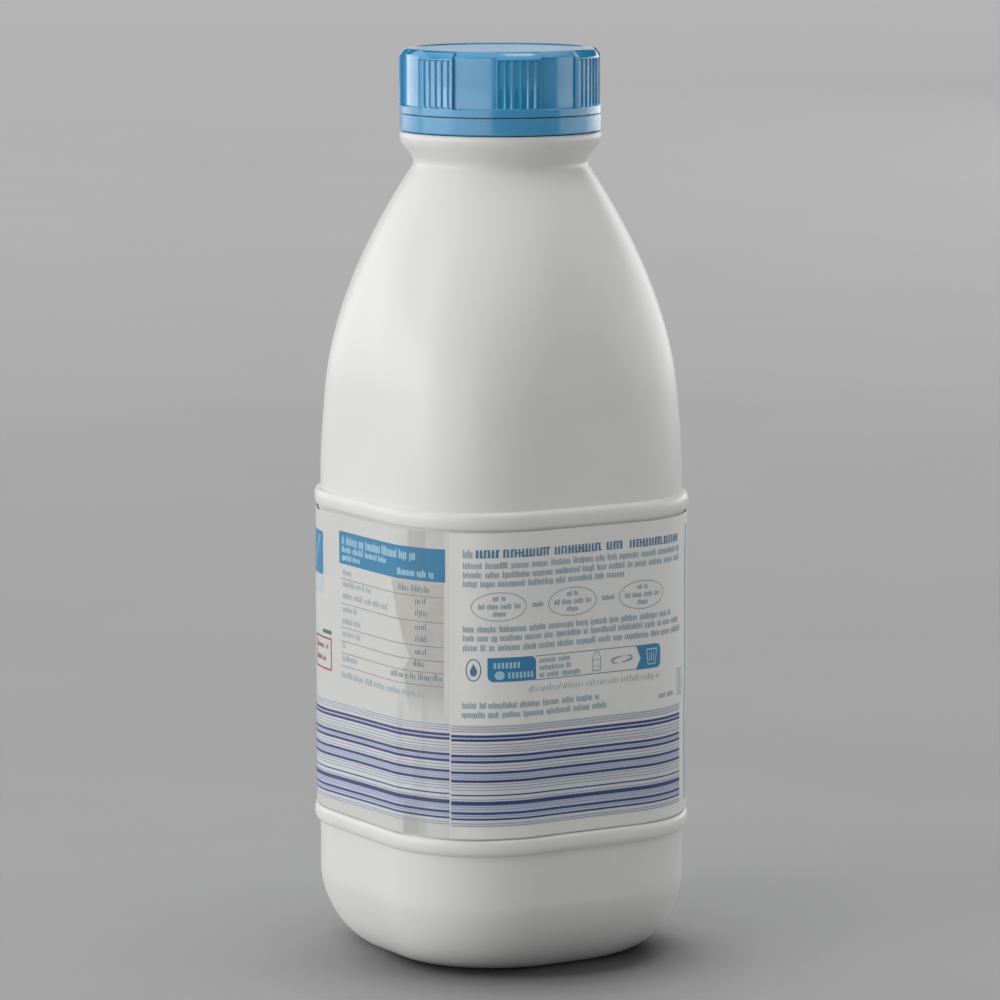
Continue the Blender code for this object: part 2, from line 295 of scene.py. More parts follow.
class Finish:
    """A material, or the sky, in the making."""

    def __init__(self, name, kind="materials", shader="Principled BSDF"):
        self.made = getattr(bpy.data, kind).new(name)
        self.made.use_nodes = True
        self.tree = self.made.node_tree
        self.shader = self.tree.nodes[shader]

    def feed(self, socket, value):
        """Sets a socket to a number or colour, or links a flow to it."""
        if isinstance(value, Flow):
            self.tree.links.new(value.socket, socket)
        else:
            socket.default_value = value

    def node(self, kind, settings=None, values=None, output=0):
        """Any node: its settings first, then its sockets by place or by name."""
        made = self.tree.nodes.new(kind)
        for name, value in (settings or {}).items():
            if name == "stops":
                ramp = made.color_ramp
                while len(ramp.elements) < len(value):
                    ramp.elements.new(0.5)
                for stop, (place, colour) in zip(ramp.elements, value):
                    stop.position = place
                    stop.color = colour
            else:
                setattr(made, name, value)
        pairs = values.items() if isinstance(values, dict) else enumerate(values or ())
        for place, value in pairs:
            self.feed(made.inputs[place], value)
        return Flow(self, made.outputs[output])

    def coordinates(self):
        """The piece's own coordinates, in metres."""
        return self.node("ShaderNodeTexCoord", output="Object")

    def axis(self, place, number):
        """One axis of a place."""
        return self.node("ShaderNodeSeparateXYZ", {}, [place], output=number)

    def reach(self, place):
        """How far a place is from the middle."""
        return self.node("ShaderNodeVectorMath", {"operation": "LENGTH"}, [place], output=1)

    def ramp(self, flow, stops):
        """Colours along a flow from 0 to 1, as pairs of a place and a colour."""
        return self.node("ShaderNodeValToRGB", {"stops": stops}, [flow])

    def noise(self, place, scale, detail=3.0, rough=0.55):
        values = {"Vector": place, "Scale": scale, "Detail": detail, "Roughness": rough}
        return self.node("ShaderNodeTexNoise", {}, values)

    def between(self, flow, low, high, low_out=0.0, high_out=1.0):
        """A flow's stretch from low to high, mapped smoothly to another stretch."""
        values = [flow, low, high, low_out, high_out]
        return self.node("ShaderNodeMapRange", {"interpolation_type": "SMOOTHSTEP"}, values)

    def blend(self, share, first, second, mode="MIX"):
        """Two colours mixed by a share."""
        settings = {"data_type": "RGBA", "blend_type": mode}
        return self.node("ShaderNodeMix", settings, {0: share, 6: first, 7: second}, output=2)

    def bump(self, height, strength, depth):
        values = {"Strength": strength, "Distance": depth, "Height": height}
        return self.node("ShaderNodeBump", {}, values)

    def set(self, **sockets):
        """Feeds the shader's sockets, whose names are given with underscores."""
        for name, value in sockets.items():
            self.feed(self.shader.inputs[name.replace("_", " ")], value)
        return self.made


def rgb(red, green, blue):
    return (red, green, blue, 1.0)


def grey(tone):
    return rgb(tone, tone, tone)


# The inks that both sides of the label use: where they are whole, and where they are worn
NAVY = ((0.03, 0.052, 0.2), (0.1, 0.14, 0.32))
SKY = ((0.04, 0.235, 0.44), (0.07, 0.29, 0.49))


def white_plastic():
    """Satin white polyethylene with a blown wall's faint unevenness, painted whiter towards the
    foot as painted light on the heel.
    """
    finish = Finish("white blown plastic")
    place = finish.coordinates()
    cloud = finish.noise(place, 38, 2)
    fine = finish.noise(place, 900, 2)
    wall = finish.blend(
        finish.between(cloud, 0.35, 0.65), rgb(0.806, 0.808, 0.797), rgb(0.818, 0.819, 0.808)
    )
    # Painted light on the heel: whiter towards the foot
    rise = finish.between(finish.axis(place, 2), FOOT_PAINTED_LIGHT_LOW * MM, FOOT_PAINTED_LIGHT_HIGH * MM)
    return finish.set(
        Base_Color=finish.blend(rise, rgb(0.89, 0.89, 0.88), wall),
        Roughness=finish.between(cloud, 0.3, 0.7, 0.3, 0.32),
        Normal=finish.bump(fine, 0.04, 0.0002),
    )


def blue_plastic():
    """Glossy blue polypropylene with fine moulding grain, duller on the flat of the cap's top,
    which is painted a lighter blue as a painted reflection.
    """
    finish = Finish("blue moulded plastic")
    place = finish.coordinates()
    level = finish.node("ShaderNodeMapping", {}, {"Vector": place, "Scale": (1, 1, 0)})
    # Off the flat of the top the coat is full; on it the blue is painted lighter as a painted
    # reflection
    coat_and_disc_light = finish.between(finish.reach(level), DISC_RADIUS * MM, (DISC_RADIUS + DISC_FADE) * MM)
    cloud = finish.noise(place, 60, 2)
    fine = finish.noise(place, 1500, 2)
    tone = finish.blend(
        finish.between(cloud, 0.3, 0.7), rgb(0.026, 0.31, 0.59), rgb(0.03, 0.326, 0.618)
    )
    # The flat of the top is painted a lighter blue: a painted reflection
    return finish.set(
        Base_Color=finish.blend(coat_and_disc_light, rgb(0.038, 0.395, 0.75), tone),
        Roughness=finish.between(cloud, 0.3, 0.7, 0.12, 0.16),
        Normal=finish.bump(fine, 0.05, 0.0002),
        Coat_Weight=coat_and_disc_light,
        Coat_Roughness=0.12,
    )


def label_place(finish):
    """The place on the flat label in millimetres: the run round the paper, then the height."""
    flat = finish.node("ShaderNodeUVMap", {"uv_map": "flat"})
    return finish.node("ShaderNodeMapping", {}, {"Vector": flat, "Scale": (1000, 1000, 1)})


def lap_darkening(finish, place):
    """Where the paper beside the lap is darker and warmer."""
    arc = finish.axis(place, 0) + (FLAP_EDGE - GIRTH)
    height = finish.axis(place, 1)
    blot = finish.noise(place, 0.16, 3)
    stops = [
        ((level - DARK_ZONE_LOW) / DARK_ZONE_TALL, grey((left + DARK_ZONE_WIDE) / DARK_ZONE_WIDE))
        for level, left in DARK_ZONE_EDGE
    ]
    edge = finish.ramp((height - DARK_ZONE_LOW) / DARK_ZONE_TALL, stops)
    left_edge = edge * DARK_ZONE_WIDE - DARK_ZONE_WIDE + blot * 2 - 1
    inside = finish.between(arc - left_edge, -0.5, 0.6) * finish.between(arc, -2.9, -2.1, 1, 0)
    inside = inside * finish.between(height, 63, 74)
    inside = inside * finish.between(height, 98, 100, 1, 0.35)
    strip = finish.between((arc + 10.2).absolute(), 2.2, 3.2, 1, 0)
    above = strip * finish.between(height, 99, 100, 0, 0.6)
    streak = finish.noise(finish.node("ShaderNodeCombineXYZ", {}, [arc, height * 0.05]), 0.22, 1)
    below = finish.between(arc, -17.5, -15.5) * finish.between(arc, -8.5, -6.5, 1, 0)
    below = below * finish.between(height, 62, 73, 1, 0) * finish.between(streak, 0.4, 0.6)
    foot = finish.between((arc + 12.3).absolute(), 1.8, 2.8, 1, 0)
    foot = foot * finish.between(height, 41, 48, 1, 0)
    patch = finish.between(blot, 0.35, 0.65, 0.75, 1)
    return (inside * patch + above + below * 0.6 + foot * 0.9).clipped()


def label_paper():
    """Off-white label paper: fibres, a soft mottle, a darker, warmer zone beside the lap, and
    painted light and shade along its run.
    """
    finish = Finish("label paper")
    place = label_place(finish)
    mottle = finish.noise(place, 0.22, 3)
    fibre = finish.noise(place, 5, 3)
    # Painted light: the paper is whiter just past the lap and along the right panel, and darker
    # along the left
    stops = [(share, rgb(white, white, white * 0.975)) for share, white in PAPER_PAINTED_LIGHT]
    tone = finish.ramp(finish.axis(place, 0) / PAPER_LENGTH, stops)
    tone = finish.blend(finish.between(mottle, 0.35, 0.65) * 0.05, tone, rgb(0.55, 0.55, 0.54))
    tone = finish.blend(lap_darkening(finish, place), tone, rgb(0.51, 0.502, 0.46))
    tone = finish.blend(finish.between(fibre, 0.3, 0.7) * 0.08, tone, rgb(0.58, 0.58, 0.56))
    return finish.set(
        Base_Color=tone,
        Roughness=finish.between(fibre, 0.3, 0.7, 0.42, 0.52),
        Normal=finish.bump(fibre * 0.3 + mottle, 0.15, 0.0003),
    )


def ink(name, colour, worn):
    """Printing ink: one colour, a little uneven where the paper's fibres take less of it."""
    finish = Finish(name)
    place = label_place(finish)
    grain = finish.noise(place, 1.4, 2)
    cloud = finish.noise(place, 0.12, 2)
    patch = finish.between(grain, 0.45, 0.75) * 0.35 + finish.between(cloud, 0.3, 0.7) * 0.12
    tone = finish.blend(patch.clipped(), rgb(*colour), rgb(*worn))
    tone = finish.blend(lap_darkening(finish, place) * 0.6, tone, rgb(0.8, 0.76, 0.7), "MULTIPLY")
    return finish.set(
        Base_Color=tone,
        Roughness=finish.between(cloud, 0.3, 0.7, 0.4, 0.5),
        Normal=finish.bump(grain, 0.05, 0.0001),
    )


def kept(value):
    """A value kept between 0 and 1."""
    return min(max(value, 0), 1)


def eased(value):
    """A value kept between 0 and 1, and eased at both ends."""
    share = kept(value)
    return share * share * (3 - 2 * share)


def swell(value, centre, width):
    """A soft bump of height 1."""
    return math.exp(-(((value - centre) / width) ** 2))


def section_reach(half, corner, angle):
    """Distance from the axis to a rounded square's outline, at an angle in radians."""
    core = half - corner
    near, far = sorted((abs(math.cos(angle)), abs(math.sin(angle))))
    if near * half <= core * far:
        return half / far
    return core * (far + near) + math.sqrt(corner ** 2 - (core * (far - near)) ** 2)


def put_in(name, data):
    """A new object in the scene, with the data that it shows."""
    made = bpy.data.objects.new(name, data)
    bpy.context.scene.collection.objects.link(made)
    return made


def deselect_all():
    """Leaves edit mode with nothing selected."""
    if bpy.context.mode != "OBJECT":
        bpy.ops.object.mode_set(mode="OBJECT")
    bpy.ops.object.select_all(action="DESELECT")


def start_ring(name, sides, radius, fill="TRIFAN"):
    """A new piece that begins as a flat ring of points, open in edit mode."""
    deselect_all()
    bpy.ops.mesh.primitive_circle_add(vertices=sides, radius=radius * MM, fill_type=fill)
    piece = bpy.context.active_object
    piece.name = piece.data.name = name
    bpy.ops.object.mode_set(mode="EDIT")
    return piece


def pick_rim(piece):
    """Selects the open edges of the piece in edit mode."""
    bpy.ops.mesh.select_mode(type="EDGE")
    bpy.ops.mesh.select_all(action="DESELECT")
    shape = bmesh.from_edit_mesh(piece.data)
    for edge in shape.edges:
        if edge.is_boundary:
            edge.select_set(True)
    shape.select_flush_mode()
    bmesh.update_edit_mesh(piece.data)


def move_picked(piece, change):
    """Moves the selected points in edit mode, each by a function of its place."""
    shape = bmesh.from_edit_mesh(piece.data)
    for point in shape.verts:
        if point.select:
            point.co = change(point.co)
    bmesh.update_edit_mesh(piece.data)


def next_ring(piece, place):
    """Extrudes the selected ring and sets its new points by a function of their angle."""

    def moved(spot):
        angle = math.atan2(spot.y, spot.x)
        reach, z = place(angle)
        return (reach * math.cos(angle) * MM, reach * math.sin(angle) * MM, z * MM)

    bpy.ops.mesh.extrude_region_move()
    move_picked(piece, moved)


def end_piece(piece, finish, stands_for, sharp):
    """Closes edit mode, turns the faces outwards and hands the piece to the frame."""
    bpy.ops.mesh.select_all(action="SELECT")
    bpy.ops.mesh.remove_doubles(threshold=TIGHT)
    bpy.ops.mesh.normals_make_consistent(inside=False)
    deselect_all()
    hand_over(piece, finish, stands_for, sharp)


def hand_over(piece, finish, stands_for=(), sharp=30):
    """Shades a finished piece and ties it to the frame."""
    deselect_all()
    piece.select_set(True)
    bpy.context.view_layer.objects.active = piece
    bpy.ops.object.shade_smooth_by_angle(angle=math.radians(sharp))
    piece.data.materials.clear()
    piece.data.materials.append(finish)
    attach(piece, "root")
    if stands_for:
        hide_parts(*stands_for)
    deselect_all()


def offset_section(half, z):
    """The label's section moved in or out to another half width, at a height."""
    return (half, LABEL_CORNER - (LABEL_HALF - half), z)


def heel_sections(steps=22):
    """The rounded heel between the foot and the lower wall."""
    wall_corner = LABEL_CORNER - (LABEL_HALF - LOWER_WALL_HALF)
    rings = []
    for step in range(steps):
        turn = 0.5 * math.pi * (1 - step / steps)
        inward = 1 - math.cos(turn) ** (2 / HEEL_POWER)
        height = HEEL_HEIGHT * (1 - math.sin(turn) ** (2 / HEEL_POWER))
        moved = (LOWER_WALL_HALF - FOOT_HALF) * inward
        corner = (wall_corner - moved) * (1 - inward) + FOOT_CORNER * inward
        rings.append((LOWER_WALL_HALF - moved, corner, height))
    return rings


def bead_sections(bottom, half, below, above, steps=18):
    """A rounded bead on the wall, whose half width is below and above on its two sides."""
    rings = []
    for step in range(steps + 1):
        across = -math.cos(math.pi * step / steps)
        rise = (1 - abs(across) ** BEAD_POWER) ** (1 / BEAD_POWER)
        wall = below if across < 0 else above
        z = bottom + BEAD_HEIGHT * 0.5 * (1 + across)
        rings.append(offset_section(wall + (half - wall) * rise, z))
    return rings


def bezier(points, t):
    """A point on a cubic Bezier curve."""
    s = 1 - t
    weights = (s ** 3, 3 * s * s * t, 3 * s * t * t, t ** 3)
    return [sum(w * p[axis] for w, p in zip(weights, points)) for axis in (0, 1)]


def corner_share(z):
    """Corner radius as a share of the half width, growing to a full circle at the waist."""
    start = 1 - (LABEL_HALF - LABEL_CORNER) / UPPER_WALL_HALF
    return start + (1 - start) * eased((z - MORPH_START) / (MORPH_END - MORPH_START))


def shoulder_sections(steps=44):
    """The shoulder, from the wall above the label to the cone under the waist."""
    lean = (UPPER_WALL_HALF - SHOULDER_HALF) / (SHOULDER_START - MORPH_START)
    slope = math.radians(NECK_SLOPE)
    points = (
        (SHOULDER_HALF, SHOULDER_START),
        (SHOULDER_HALF - lean * SHOULDER_HANDLE, SHOULDER_START + SHOULDER_HANDLE),
        (
            WAIST_TOP_RADIUS + NECK_HANDLE * math.sin(slope),
            WAIST_TOP - NECK_HANDLE * math.cos(slope),
        ),
        (WAIST_TOP_RADIUS, WAIST_TOP),
    )
    rings = []
    for step in range(steps + 1):
        half, z = bezier(points, step / steps)
        rings.append((half, half * corner_share(z), z))
    return rings


def through(points, steps):
    """A smooth line through points (Catmull-Rom), as a list of points."""
    ends = [points[0], *points, points[-1]]
    line = []
    for a, b, c, d in zip(ends, ends[1:], ends[2:], ends[3:]):
        leave = [b[axis] + (c[axis] - a[axis]) / 6 for axis in (0, 1)]
        reach = [c[axis] - (d[axis] - b[axis]) / 6 for axis in (0, 1)]
        line += [bezier((b, leave, reach, c), step / steps) for step in range(steps)]
    return line + [points[-1]]


def body_sections(lower_steps=7, upper_steps=12):
    """All outer sections, from the rim of the foot to the top of the neck."""
    lower_bead = LABEL_BOTTOM - BEAD_CLEAR - BEAD_HEIGHT
    upper_bead = LABEL_TOP + BEAD_CLEAR
    rings = heel_sections()
    for step in range(lower_steps):
        z = HEEL_HEIGHT + (lower_bead - HEEL_HEIGHT) * step / lower_steps
        rings.append(offset_section(LOWER_WALL_HALF, z))
    rings += bead_sections(lower_bead, LOWER_BEAD_HALF, LOWER_WALL_HALF, LABEL_WALL_HALF)
    rings += bead_sections(upper_bead, UPPER_BEAD_HALF, LABEL_WALL_HALF, UPPER_WALL_HALF)
    for step in range(1, upper_steps):
        share = step / upper_steps
        z = MORPH_START + (SHOULDER_START - MORPH_START) * share
        half = UPPER_WALL_HALF + (SHOULDER_HALF - UPPER_WALL_HALF) * share
        rings.append((half, half * corner_share(z), z))
    rings += shoulder_sections()
    rings += [(radius, radius, z) for radius, z in through(FLANGE_LINE, 4)[1:]]
    rings += [(NECK_RADIUS, NECK_RADIUS, FLANGE_TOP), (NECK_RADIUS, NECK_RADIUS, NECK_TOP)]
    return rings


def push_up_height(radius, angle, z):
    """The height of the hollow under the foot, with the weld across it."""
    side = radius * math.sin(angle - math.radians(WELD_TURN))
    fade = kept((WELD_REACH - radius) / WELD_FADE)
    return max(z - WELD_DEPTH * fade * swell(side, 0, WELD_WIDTH), 0.0)


def make_body(finish, push_up_steps=24):
    """The body: a ring under the foot, extruded out, up the wall and over the shoulder."""
    body = start_ring("bottle_body", BODY_SIDES, 1.0)
    bpy.ops.transform.translate(value=(0, 0, PUSH_UP_DEPTH * MM))
    pick_rim(body)
    for step in range(1, push_up_steps + 1):
        turn = 0.5 * math.pi * step / push_up_steps
        radius = max(PUSH_UP_RADIUS * math.sin(turn), 1.2)
        z = PUSH_UP_DEPTH * math.cos(turn)
        next_ring(body, lambda angle: (radius, push_up_height(radius, angle, z)))
    for half, corner, z in body_sections():
        next_ring(body, lambda angle: (section_reach(half, corner, angle), z))
    bpy.ops.mesh.edge_face_add()
    end_piece(body, finish, ["bottle"], sharp=40)


def groove(past):
    """Depth of the grip's grooves between its ribs, at an angle past the pad's edge."""
    for left, right in zip(RIB_PLACES, RIB_PLACES[1:]):
        if left <= past <= right:
            across = (past - left - RIB_CREST) / (right - left - 2 * RIB_CREST)
            return GROOVE_DEPTH * eased(min(across, 1 - across) / GROOVE_FLANK)
    return 0.0


def cap_ring(cap, panel, pad, cut=0.0):
    """One more ring of the cap, from its place on the panels and its place on the pads."""

    def place(angle):
        past = (math.degrees(angle) - PAD_START) % (360 / PAD_COUNT)
        inside = kept(min(past, PAD_WIDTH + PAD_EDGE - past) / PAD_EDGE)
        radius = panel[0] + (pad[0] - panel[0]) * inside
        z = panel[1] + (pad[1] - panel[1]) * inside
        if inside == 1:
            radius -= cut * groove(past)
        return radius, z

    next_ring(cap, place)


def make_cap(finish):
    """The cap: a disc with a low rim, extruded down its ribbed side and up its inside."""
    cap = start_ring("cap_shell", CAP_SIDES, 5.0)
    bpy.ops.transform.translate(value=(0, 0, (CAP_TOP - DISC_SUNK) * MM))
    pick_rim(cap)
    for spot in CAP_RIM:
        cap_ring(cap, spot, spot)
    for panel, pad, cut in CAP_SIDE:
        cap_ring(cap, panel, pad, cut)
    for spot in CAP_INNER:
        cap_ring(cap, spot, spot)
    bpy.ops.mesh.edge_face_add()
    end_piece(cap, finish, ["cap"], sharp=28)


def make_band(finish):
    """The tamper band: a ring with rounded edges."""
    band = start_ring("cap_tamper_band", BAND_SIDES, CAP_INSIDE, "NOTHING")
    bpy.ops.transform.translate(value=(0, 0, BAND_BOTTOM * MM))
    bpy.ops.mesh.select_all(action="SELECT")
    for radius, z in BAND_LINE:
        next_ring(band, lambda angle: (radius, z))
    end_piece(band, finish, ["tamper_band"], sharp=35)


def outline(arc):
    """Place and outward direction on the label's section, at an arc length."""
    core = LABEL_HALF - LABEL_CORNER
    half_bend = 0.25 * math.pi * LABEL_CORNER
    turn, rest = divmod(arc, SIDE_RUN)
    if rest < half_bend:
        angle = -0.75 * math.pi + rest / LABEL_CORNER
        middle = Vector((-core, -core))
    elif rest < half_bend + 2 * core:
        angle = -0.5 * math.pi
        middle = Vector((rest - half_bend - core, -core))
    else:
        angle = -0.5 * math.pi + (rest - half_bend - 2 * core) / LABEL_CORNER
        middle = Vector((core, -core))
    outward = Vector((math.cos(angle), math.sin(angle)))
    place = middle + LABEL_CORNER * outward
    quarter = Matrix.Rotation(turn * 0.5 * math.pi, 2)
    return quarter @ place, quarter @ outward


def relief(run, height):
    """How far the paper stands off its section, at a run past the flap's edge."""
    rise = FLAP_RISE * (1 - eased((run - FLAP_WIDTH) / FLAP_FADE))
    arc = run + FLAP_EDGE
    if run > 0.5 * GIRTH:
        arc -= GIRTH
    top = kept((height - 88.0) / 20.0)
    low = kept((56.0 - height) / 15.0)
    fold = swell(arc, FOLD_ARC + 0.3 * math.sin(height * 0.21), FOLD_WIDTH)
    rise -= FOLD_DEPTH * fold * (0.5 + 0.5 * top + 0.4 * low)
    rise += RIDGE_RISE * swell(arc, RIDGE_ARC, RIDGE_WIDTH)
    crease = swell(arc, CREASE_ARC + 0.036 * (height - 75.0), CREASE_WIDTH)
    rise -= CREASE_DEPTH * crease * (1 - top)
    rise += 0.06 * math.sin(arc * 0.31 + height * 0.05) * swell(arc, 0, 40)
    rise += 0.05 * math.sin(height * 0.17 + arc * 0.11)
    return rise


def roll(run, height, lift):
    """The place in space of a point of the flat label."""
    place, outward = outline(run + FLAP_EDGE)
    near_top = kept((height - NOTCH_START) / (LABEL_TOP - NOTCH_START))
    height -= NOTCH_DEPTH * swell(run + FLAP_EDGE - GIRTH, NOTCH_ARC, NOTCH_WIDTH) * near_top
    reach = place + outward * (relief(run, height) + lift)
    return (reach.x * MM, reach.y * MM, height * MM)


def make_label(finish):
    """The paper: a flat grid rolled round the bottle, its end tucked under the flap."""
    deselect_all()
    bpy.ops.mesh.primitive_grid_add(
        x_subdivisions=PAPER_COLUMNS, y_subdivisions=PAPER_ROWS, size=1.0
    )
    paper = bpy.context.active_object
    paper.name = paper.data.name = "label_sheet"

    def spread(spot):
        """The run and height of a place on the grid, which is 1 m wide and tall."""
        return (spot.x + 0.5) * PAPER_LENGTH, LABEL_BOTTOM + (spot.y + 0.5) * LABEL_TALL

    flat = paper.data.uv_layers.active
    flat.name = "flat"
    for loop in paper.data.loops:
        run, height = spread(paper.data.vertices[loop.vertex_index].co)
        flat.data[loop.index].uv = (run * MM, height * MM)
    for point in paper.data.vertices:
        point.co = roll(*spread(point.co), 0.0)
    bpy.context.view_layer.objects.active = paper
    thick = paper.modifiers.new("thickness", "SOLIDIFY")
    thick.thickness = PAPER_THICK * MM
    thick.offset = -1.0
    bpy.ops.object.modifier_apply(modifier=thick.name)
    hand_over(paper, finish, ["label"], sharp=40)


def on_plate(arc, height):
    """A place on a flat printing plate, in metres."""
    return ((arc - FLAP_EDGE) * MM, height * MM, 0)


class Plate:
    """One ink's printing plate: flat shapes drawn in edit mode, then rolled on to the paper.

    While it is flat, x is the run past the flap's edge and y the height. The lift is how far
    the ink stands off the paper."""

    def __init__(self, name, finish, lift):
        deselect_all()
        self.piece = put_in(name, bpy.data.meshes.new(name))
        bpy.context.view_layer.objects.active = self.piece
        self.piece.select_set(True)
        bpy.ops.object.mode_set(mode="EDIT")
        self.finish = finish
        self.lift = lift

    def bar(self, left, right, low, high):
        """A plain rectangle."""
        middle = on_plate(0.5 * (left + right), 0.5 * (low + high))
        bpy.ops.mesh.primitive_plane_add(size=MM, location=middle)
        size = (right - left, high - low, 1)
        bpy.ops.transform.resize(value=size, center_override=middle)

    def lines(self, left, right, heights, thick):
        """Level lines of one thickness."""
        for height in heights:
            self.bar(left, right, height - 0.5 * thick, height + 0.5 * thick)

    def block(self, left, right, low, high, radius, corners=(1, 1, 1, 1)):
        """A rectangle with some corners rounded: low left, low right, high left, high right."""
        self.bar(left, right, low, high)
        bpy.ops.mesh.select_mode(type="VERT")
        shape = bmesh.from_edit_mesh(self.piece.data)
        points = [point for point in shape.verts if point.select]
        points.sort(key=lambda point: (round(point.co.y, 7), point.co.x))
        for point, rounded in zip(points, corners):
            point.select_set(bool(rounded))
        shape.select_flush_mode()
        bmesh.update_edit_mesh(self.piece.data)
        bpy.ops.mesh.bevel(
            affect="VERTICES", offset=radius * MM, offset_type="OFFSET", segments=6, profile=0.5
        )

    def oval(self, arc, height, wide, tall, sides, fill):
        """An ellipse, filled or as a bare ring."""
        middle = on_plate(arc, height)
        bpy.ops.mesh.primitive_circle_add(
            vertices=sides, radius=MM, fill_type=fill, location=middle
        )
        bpy.ops.transform.resize(value=(wide, tall, 1), center_override=middle)

    def disc(self, arc, height, wide, tall, sides=40):
        """A filled ellipse."""
        self.oval(arc, height, wide, tall, sides, "NGON")

    def hoop(self, arc, height, wide, tall, line, sides=56):
        """An ellipse drawn as a line."""
        self.oval(arc, height, wide, tall, sides, "NOTHING")
        bpy.ops.mesh.extrude_region_move()
        inner = ((wide - line) / wide, (tall - line) / tall, 1)
        bpy.ops.transform.resize(value=inner, center_override=on_plate(arc, height))

    def stroke(self, start, end, thick):
        """A straight line between two places."""
        along, up = end[0] - start[0], end[1] - start[1]
        arc, height = 0.5 * (start[0] + end[0]), 0.5 * (start[1] + end[1])
        half = 0.5 * math.hypot(along, up)
        self.bar(arc - half, arc + half, height - 0.5 * thick, height + 0.5 * thick)
        self.turn_last(arc, height, math.degrees(math.atan2(up, along)))

    def turn_last(self, arc, height, angle):
        """Turns the last shape about a place."""
        middle = Vector(on_plate(arc, height))
        turn = Matrix.Rotation(math.radians(angle), 3, "Z")
        move_picked(self.piece, lambda spot: middle + turn @ (spot - middle))

    def form(self, corners):
        """A filled shape with given corners, pulled out of a round one."""
        bpy.ops.mesh.primitive_circle_add(vertices=len(corners), radius=MM, fill_type="NGON")
        places = iter(corners)
        move_picked(self.piece, lambda spot: on_plate(*next(places)))

    def frame(self, left, right, low, high, line):
        """A rectangle drawn as a line."""
        self.bar(left, right, low, low + line)
        self.bar(left, right, high - line, high)
        self.bar(left, left + line, low + line, high - line)
        self.bar(right - line, right, low + line, high - line)

    def haze(self, rows):
        """The soft tone of each word in rows of small marks."""
        for start, end, base, tall, dice in words(rows):
            self.bar(start - 0.1, end, base - 0.1, base + tall * 0.78)

    def strokes(self, rows, pitch=0.56, pen=0.27, lean=0.0):
        """The upright marks of each word in rows of small marks."""
        for arc, end, base, tall, dice in words(rows):
            while arc < end - 0.5 * pen:
                kind = dice.random()
                top = tall * (1.0 if kind < 0.25 else dice.uniform(0.64, 0.74))
                foot = -0.22 * tall if kind > 0.92 else 0.0
                wide = pen * dice.uniform(0.75, 1.2)
                self.bar(arc, arc + wide, base + foot, base + top)
                if lean:
                    self.turn_last(arc, base, -lean)
                arc += pitch * dice.uniform(0.85, 1.2)

    def print(self, sinks=False):
        """Divides the flat shapes as the paper is divided, and rolls them on to it."""
        bpy.ops.object.mode_set(mode="OBJECT")
        shape = bmesh.new()
        shape.from_mesh(self.piece.data)
        xs = [point.co.x for point in shape.verts]
        ys = [point.co.y for point in shape.verts]
        step = PAPER_LENGTH / PAPER_COLUMNS * MM
        for column in range(math.ceil(min(xs) / step), math.floor(max(xs) / step) + 1):
            slice_flat(shape, (column * step, 0, 0), (1, 0, 0))
        for row in range(PAPER_ROWS + 1):
            level = (LABEL_BOTTOM + LABEL_TALL * row / PAPER_ROWS) * MM
            if min(ys) < level < max(ys):
                slice_flat(shape, (0, level, 0), (0, 1, 0))
        flat = shape.loops.layers.uv.new("flat")
        for face in shape.faces:
            for loop in face.loops:
                loop[flat].uv = loop.vert.co.xy
        for point in shape.verts:
            run, height = point.co.x / MM, point.co.y / MM
            if sinks and run > 0.5 * GIRTH:
                height -= SINK_SLOPE * max(SINK_START - run, 0.0)
            point.co = roll(run, height, self.lift)
        for face in shape.faces:
            face.normal_update()
            if face.normal.xy.dot(face.calc_center_median().xy) < 0:
                face.normal_flip()
        shape.to_mesh(self.piece.data)
        shape.free()
        hand_over(self.piece, self.finish)


def words(rows):
    """The words in rows of small marks: start, end, base, tall and the dice for their marks."""
    for left, right, base, tall, seed in rows:
        lengths, dice = random.Random(seed), random.Random(seed + 500)
        arc = left
        while arc < right - 0.9:
            end = min(arc + lengths.choice((1.3, 2.6, 3.4, 4.6, 5.6, 7)), right)
            yield arc, end, base, tall, dice
            arc = end + 0.85


def slice_flat(shape, place, direction):
    """Cuts every shape of a plate along a line."""
    parts = shape.verts[:] + shape.edges[:] + shape.faces[:]
    bmesh.ops.bisect_plane(shape, geom=parts, dist=1e-7, plane_co=place, plane_no=direction)


